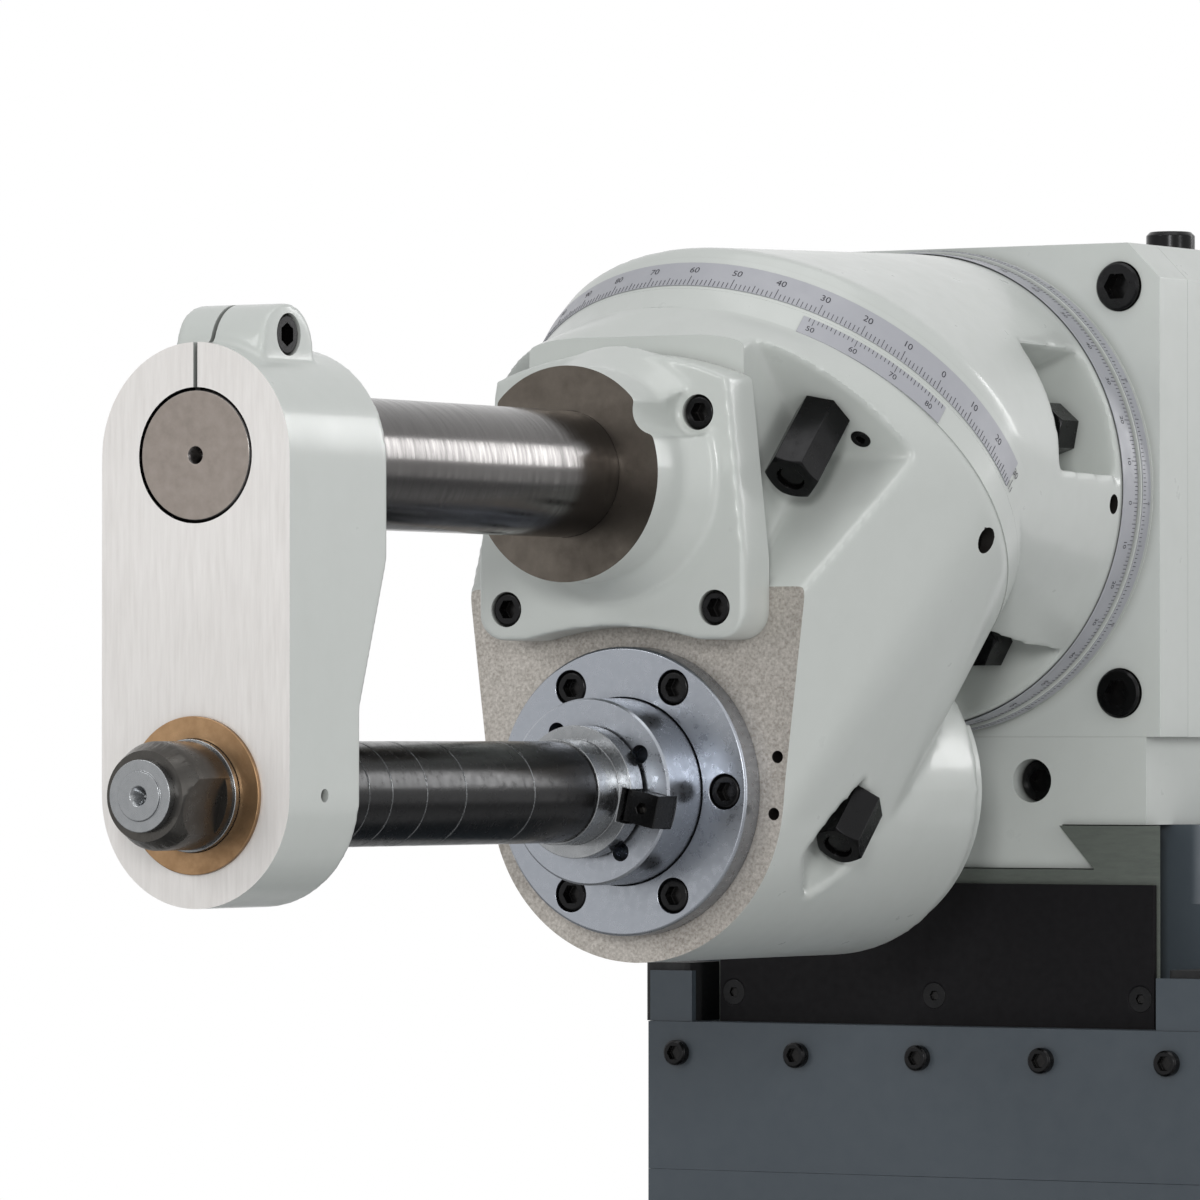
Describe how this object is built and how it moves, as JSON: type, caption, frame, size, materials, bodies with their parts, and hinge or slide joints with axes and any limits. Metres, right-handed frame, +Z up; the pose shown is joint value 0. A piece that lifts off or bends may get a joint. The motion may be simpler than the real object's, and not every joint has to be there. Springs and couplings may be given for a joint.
{
  "type": "milling machine",
  "caption": "Free-standing knee-type milling machine with a ram, a twice-swivelling head, an over-arm with arbor support, and a horizontal arbor.",
  "frame": {"origin": "on the floor, in the mid-plane, below the middle of the front of the column; the base rests on z = 0", "axes": "+Z up, -Y to the front of the machine, +X to the right seen from the front"},
  "size_m": [1.268, 1.802, 1.79],
  "materials": {
    "paint": "satin",
    "slate_paint": "satin",
    "steel": "ground",
    "bright_steel": "polished",
    "black_oxide": "black oxide",
    "bronze": "machined",
    "cast_iron": "machined",
    "red_plastic": "gloss",
    "scale_film": "matt",
    "black_paint": "satin",
    "wiper_rubber": "matt"
  },
  "bodies": {
    "frame": {"base_casting": "slate_paint", "column": "slate_paint", "vertical_ways": "cast_iron", "way_cover_panel": "black_paint", "panel_screws": "black_oxide", "door_pins": "steel", "control_box": "paint", "elevating_nut": "cast_iron", "ram_gib": "cast_iron"},
    "door": {"column_door": "paint"},
    "switch": {"main_switch": "red_plastic"},
    "stop": {"stop_button": "red_plastic"},
    "ram": {"ram_body": "paint", "ram_plate": "paint", "ram_plate_screws": "black_oxide", "ram_oil_cap": "black_oxide", "ram_bearings": "steel", "ram_gearbox": "paint", "ram_motor": "slate_paint", "ram_scale": "scale_film"},
    "lever": {"speed_lever": "steel"},
    "drive": {"drive_shaft": "steel"},
    "feed_wheel": {"ram_feed_wheel": "steel"},
    "mid_head": {"mid_housing": "paint", "mid_clamp_nuts": "black_oxide", "mid_scales": "scale_film"},
    "front_head": {"head_housing": "paint", "head_clamp_nuts": "black_oxide", "head_scale": "scale_film", "head_plugs": "black_oxide", "ring_flange": "steel", "ring_screws": "black_oxide", "rear_cap": "paint", "cap_screws": "black_oxide", "overarm_bracket": "paint", "bracket_screws": "black_oxide", "head_bearings": "steel"},
    "cross": {"cross_shaft": "steel"},
    "spindle": {"spindle": "steel", "drive_keys": "black_oxide", "draw_bar": "black_oxide", "arbor": "bright_steel", "arbor_spacers": "black_oxide", "arbor_sleeve": "bright_steel", "arbor_nut": "black_oxide"},
    "overarm": {"overarm_bar": "bright_steel"},
    "support": {"arbor_support": "paint", "support_bush": "bronze", "support_screw": "black_oxide"},
    "knee": {"knee_casting": "slate_paint", "knee_gib": "cast_iron", "knee_strip": "slate_paint", "strip_screws": "black_oxide", "way_wipers": "wiper_rubber", "table_nut": "bronze"},
    "lift_screw": {"elevating_screw": "steel"},
    "crank": {"knee_crank": "steel"},
    "table": {"table": "cast_iron", "table_brackets": "slate_paint"},
    "feed_screw": {"table_screw": "steel"}
  },
  "joints": [
    {"name": "ram_slide", "type": "slide", "parent": "frame", "child": "ram", "axis": [0, -1, 0], "range_m": [-0.05, 0.3]},
    {"name": "rear_swivel", "type": "hinge", "parent": "ram", "child": "mid_head", "pos_m": [0, -0.44, 1.65], "axis": [0, -1, 0], "range_deg": [-90, 90]},
    {"name": "front_swivel", "type": "hinge", "parent": "mid_head", "child": "front_head", "pos_m": [0, -0.44, 1.65], "axis": [0, -0.7071, -0.7071], "range_deg": [0, 180]},
    {"name": "spindle_spin", "type": "hinge", "parent": "front_head", "child": "spindle", "pos_m": [0, -0.44, 1.5], "axis": [0, -1, 0], "continuous": true},
    {"name": "cross_shaft_spin", "type": "hinge", "parent": "front_head", "child": "cross", "pos_m": [0, -0.44, 1.65], "axis": [0, -0.7071, -0.7071], "continuous": true},
    {"name": "drive_shaft_spin", "type": "hinge", "parent": "ram", "child": "drive", "pos_m": [0, -0.44, 1.65], "axis": [0, 1, 0], "continuous": true},
    {"name": "overarm_slide", "type": "slide", "parent": "front_head", "child": "overarm", "axis": [0, -1, 0], "range_m": [0, 0.04]},
    {"name": "support_slide", "type": "slide", "parent": "overarm", "child": "support", "axis": [0, -1, 0], "range_m": [-0.15, 0.02]},
    {"name": "knee_lift", "type": "slide", "parent": "frame", "child": "knee", "axis": [0, 0, 1], "range_m": [-0.3, 0.05]},
    {"name": "elevating_screw_turn", "type": "hinge", "parent": "knee", "child": "lift_screw", "pos_m": [0, -0.52, 0.7], "axis": [0, 0, 1], "continuous": true},
    {"name": "knee_crank_turn", "type": "hinge", "parent": "knee", "child": "crank", "pos_m": [0, -0.77, 0.836], "axis": [0, -1, 0], "continuous": true},
    {"name": "table_slide", "type": "slide", "parent": "knee", "child": "table", "axis": [1, 0, 0], "range_m": [-0.25, 0.25]},
    {"name": "table_screw_turn", "type": "hinge", "parent": "table", "child": "feed_screw", "pos_m": [0, -0.62, 0.94], "axis": [1, 0, 0], "continuous": true},
    {"name": "ram_wheel_turn", "type": "hinge", "parent": "frame", "child": "feed_wheel", "pos_m": [0, -0.06, 1.437], "axis": [1, 0, 0], "continuous": true},
    {"name": "door_hinge", "type": "hinge", "parent": "frame", "child": "door", "pos_m": [-0.142, 0.256, 0.5], "axis": [0, 0, 1], "range_deg": [0, 110]},
    {"name": "main_switch_turn", "type": "hinge", "parent": "frame", "child": "switch", "pos_m": [-0.246, -0.06, 1.15], "axis": [-1, 0, 0], "range_deg": [0, 90]},
    {"name": "stop_press", "type": "slide", "parent": "frame", "child": "stop", "axis": [1, 0, 0], "range_m": [0, 0.006], "stiffness_N_per_m": 1500},
    {"name": "speed_lever_turn", "type": "hinge", "parent": "ram", "child": "lever", "pos_m": [0.14, 0.485, 1.65], "axis": [1, 0, 0], "range_deg": [-30, 30]}
  ],
  "couplings": [
    {"joint": "cross_shaft_spin", "follows": "spindle_spin", "ratio": -1},
    {"joint": "drive_shaft_spin", "follows": "spindle_spin", "ratio": 1},
    {"joint": "elevating_screw_turn", "follows": "knee_lift", "rad_per_m": 1256.6},
    {"joint": "knee_crank_turn", "follows": "knee_lift", "rad_per_m": 1256.6},
    {"joint": "table_screw_turn", "follows": "table_slide", "rad_per_m": 1256.6},
    {"joint": "ram_wheel_turn", "follows": "ram_slide", "rad_per_m": -46.512}
  ]
}
